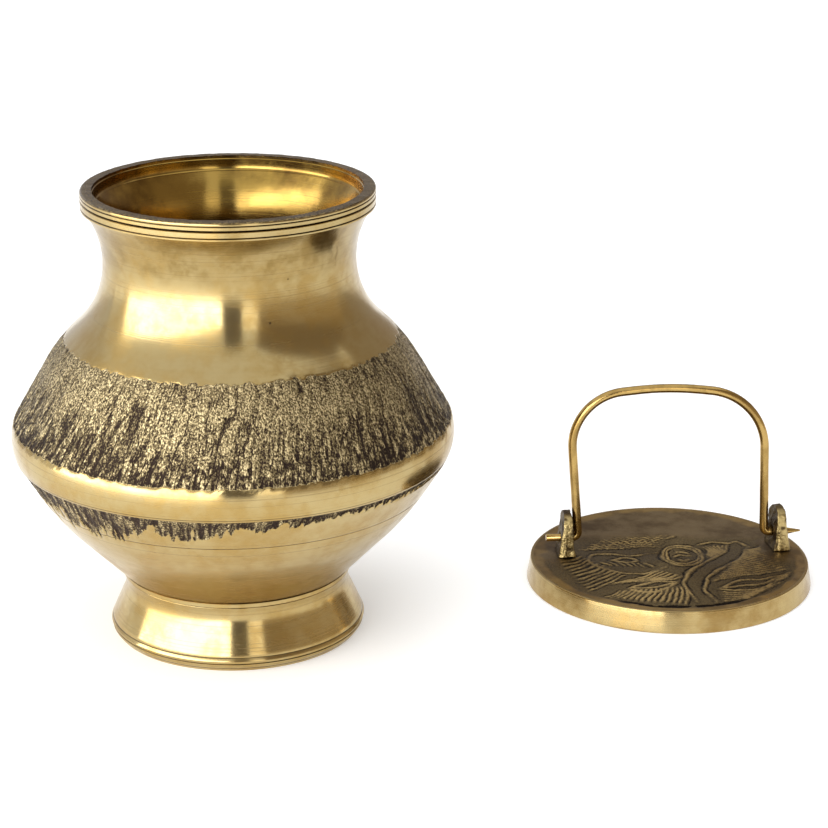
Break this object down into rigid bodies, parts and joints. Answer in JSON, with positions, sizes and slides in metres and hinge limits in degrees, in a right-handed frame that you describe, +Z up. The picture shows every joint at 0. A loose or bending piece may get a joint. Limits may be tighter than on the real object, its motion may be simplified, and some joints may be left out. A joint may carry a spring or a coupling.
{
  "type": "lidded brass water pot",
  "caption": "Round-bellied cast brass water pot on a flared foot ring, with its shallow cap lid lying beside it and a wire bail that swings in lugs on the lid.",
  "frame": {"origin": "centre of the foot ring's resting plane", "axes": "+Z up out of the mouth, +X towards the side where the lid lies, +Y away from the viewer"},
  "size_m": [0.2286, 0.135, 0.127],
  "materials": {
    "cast_brass": "cast skin and turned bright bands",
    "turned_brass": "turned on a lathe and polished",
    "patinated_brass": "dark cast top with a bright turned edge",
    "lug_brass": "cast, with filed edges",
    "brass_wire": "drawn wire, hammered at the ends"
  },
  "bodies": {
    "pot": {"pot_body": "cast_brass", "foot_ring": "turned_brass"},
    "lid": {"lid_plate": "patinated_brass", "lug_left": "lug_brass", "lug_right": "lug_brass"},
    "bail": {"bail": "brass_wire"}
  },
  "joints": [
    {"name": "lid_lift", "type": "slide", "parent": "pot", "child": "lid", "axis": [0, 0, 1], "range_m": [0, 0.15]},
    {"name": "bail_swing", "type": "hinge", "parent": "lid", "child": "bail", "pos_m": [0.12499, 0.03838, 0.0111], "axis": [0.9969, 0.0785, 0], "range_deg": [-96, 92]}
  ]
}
